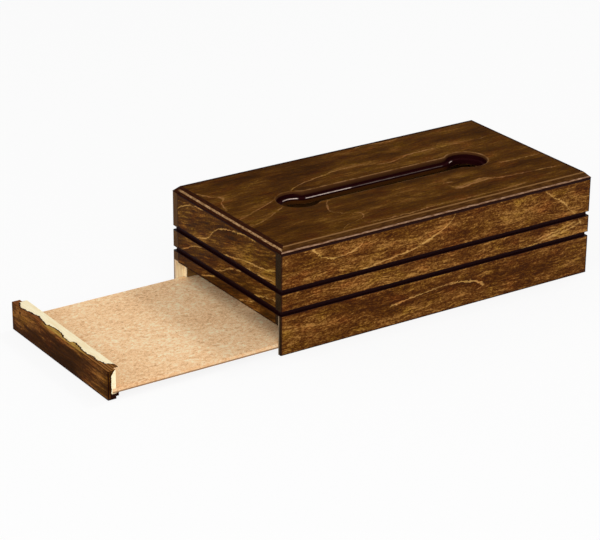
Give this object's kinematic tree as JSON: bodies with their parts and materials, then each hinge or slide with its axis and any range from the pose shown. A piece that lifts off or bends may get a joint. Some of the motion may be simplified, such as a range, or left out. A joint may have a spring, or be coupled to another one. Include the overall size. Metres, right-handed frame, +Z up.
{
  "type": "tissue box with drawer",
  "caption": "Oblong stained plywood tissue box: bevelled top with a dog-bone tissue slot, grooved walls, and a hardboard bottom that slides out at one end as a drawer.",
  "frame": {"origin": "on the table, under the middle of the box and its half-open drawer taken together", "axes": "+Z up, +X along the box from the drawer end to the closed end, +Y towards the far long side as seen with the drawer on the left"},
  "size_m": [0.373, 0.131, 0.073],
  "materials": {
    "side_plywood": "walnut-stained birch plywood, satin varnish",
    "end_plywood": "walnut-stained birch plywood, satin varnish",
    "top_plywood": "dark walnut-stained birch plywood, satin varnish",
    "liner_plywood": "dark walnut-stained birch plywood, satin varnish",
    "front_plywood": "birch plywood, stained outside and bare inside",
    "hardboard": "bare hardboard, matt"
  },
  "bodies": {
    "case": {"near_side_panel": "side_plywood", "far_side_panel": "side_plywood", "drawer_end_panel": "end_plywood", "closed_end_panel": "end_plywood", "top_panel": "top_plywood", "inner_top_plate": "liner_plywood"},
    "drawer": {"drawer_front": "front_plywood", "drawer_board": "hardboard"}
  },
  "joints": [
    {"name": "drawer_slide", "type": "slide", "parent": "case", "child": "drawer", "axis": [-1, 0, 0], "range_m": [-0.123, 0.08]}
  ]
}
